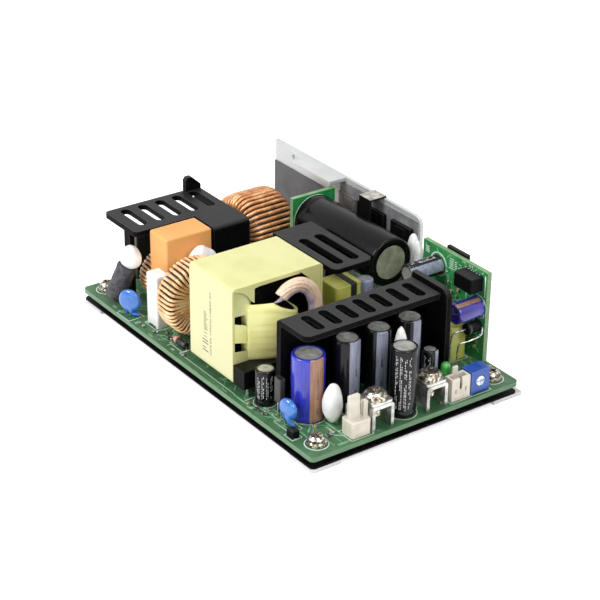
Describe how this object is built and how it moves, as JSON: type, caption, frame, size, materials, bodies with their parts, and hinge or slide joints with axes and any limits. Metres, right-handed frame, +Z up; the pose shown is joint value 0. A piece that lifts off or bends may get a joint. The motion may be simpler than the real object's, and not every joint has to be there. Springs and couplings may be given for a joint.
{
  "type": "open frame power supply",
  "caption": "Open frame power supply: green board on a folded aluminium chassis, black slotted heatsinks, taped transformer, wound chokes, cans and screw terminals along one end",
  "frame": {"origin": "centre of the four corner screw holes, on the underside of the aluminium chassis", "axes": "+X runs along the board's long side towards the end with the screw terminals, +Y towards the chassis side wall, +Z up from the chassis base through the board"},
  "size_m": [0.127, 0.0777, 0.0402],
  "materials": {
    "chassis_metal": "satin bare sheet",
    "film_black": "satin",
    "standoff_steel": "zinc plated",
    "screw_steel": "nickel plated",
    "board_green": "solder mask",
    "heatsink_black": "black anodised",
    "film_grey": "satin",
    "pad_grey": "matt",
    "package_black": "moulded",
    "clip_steel": "spring steel",
    "ferrite_grey": "matt sintered",
    "bobbin_black": "moulded",
    "tape_yellow": "polyester tape",
    "tin_pins": "tinned",
    "braid_tan": "served litz",
    "core_black": "coated powder core",
    "copper_wire": "enamelled copper",
    "case_orange": "moulded box",
    "case_white": "moulded box",
    "disc_blue": "dipped",
    "sleeve_black": "shrunk sleeve",
    "sleeve_blue": "shrunk sleeve",
    "silicone_white": "cured silicone",
    "chip_black": "moulded",
    "connector_ivory": "moulded",
    "terminal_nickel": "nickel plated",
    "trimmer_blue": "moulded",
    "rotor_white": "moulded",
    "lamp_green": "tinted lens"
  },
  "bodies": {
    "supply": {"chassis": "chassis_metal", "insulation_sheet": "film_black", "standoffs": "standoff_steel", "board_screws": "screw_steel", "main_board": "board_green", "input_heatsink": "heatsink_black", "output_heatsink": "heatsink_black", "middle_heatsink": "heatsink_black", "side_film": "film_grey", "thermal_pad": "pad_grey", "wall_transistors": "package_black", "power_transistors": "package_black", "device_clip": "clip_steel", "bridge_rectifier": "package_black", "transformer_core": "ferrite_grey", "transformer_bobbin": "bobbin_black", "transformer_pins": "tin_pins", "transformer_winding": "tape_yellow", "transformer_wrap": "tape_yellow", "transformer_lead": "braid_tan", "pfc_choke_core": "core_black", "pfc_choke_winding": "copper_wire", "front_choke_core": "core_black", "front_choke_winding": "copper_wire", "rear_choke_core": "core_black", "rear_choke_winding": "copper_wire", "orange_capacitor": "case_orange", "white_capacitor": "case_white", "disc_capacitors": "disc_blue", "sleeved_fuse": "sleeve_black", "bulk_capacitor": "sleeve_black", "riser_board": "board_green", "blue_capacitor": "sleeve_blue", "output_capacitors": "sleeve_black", "corner_capacitor": "sleeve_black", "small_capacitors": "sleeve_black", "control_capacitor": "sleeve_black", "timing_capacitor": "sleeve_blue", "silicone_beads": "silicone_white", "control_board": "board_green", "control_chips": "chip_black", "control_diode": "chip_black", "gate_transformer": "tape_yellow", "auxiliary_transformer": "tape_yellow", "feedback_optocoupler": "chip_black", "snubber_diode": "chip_black", "film_capacitor": "film_grey", "corner_diode": "chip_black", "terminal_brackets": "terminal_nickel", "terminal_washers": "terminal_nickel", "terminal_screws": "terminal_nickel", "output_header": "connector_ivory", "sense_header": "connector_ivory", "input_header": "connector_ivory", "header_pins": "tin_pins", "trimmer_body": "trimmer_blue", "led": "lamp_green"},
    "trim_rotor": {"trimmer_rotor": "rotor_white"}
  },
  "joints": [
    {"name": "trimmer_turn", "type": "hinge", "parent": "supply", "child": "trim_rotor", "pos_m": [0.0606, 0.024, 0.0092], "axis": [1, 0, 0], "range_deg": [-130, 130]}
  ]
}
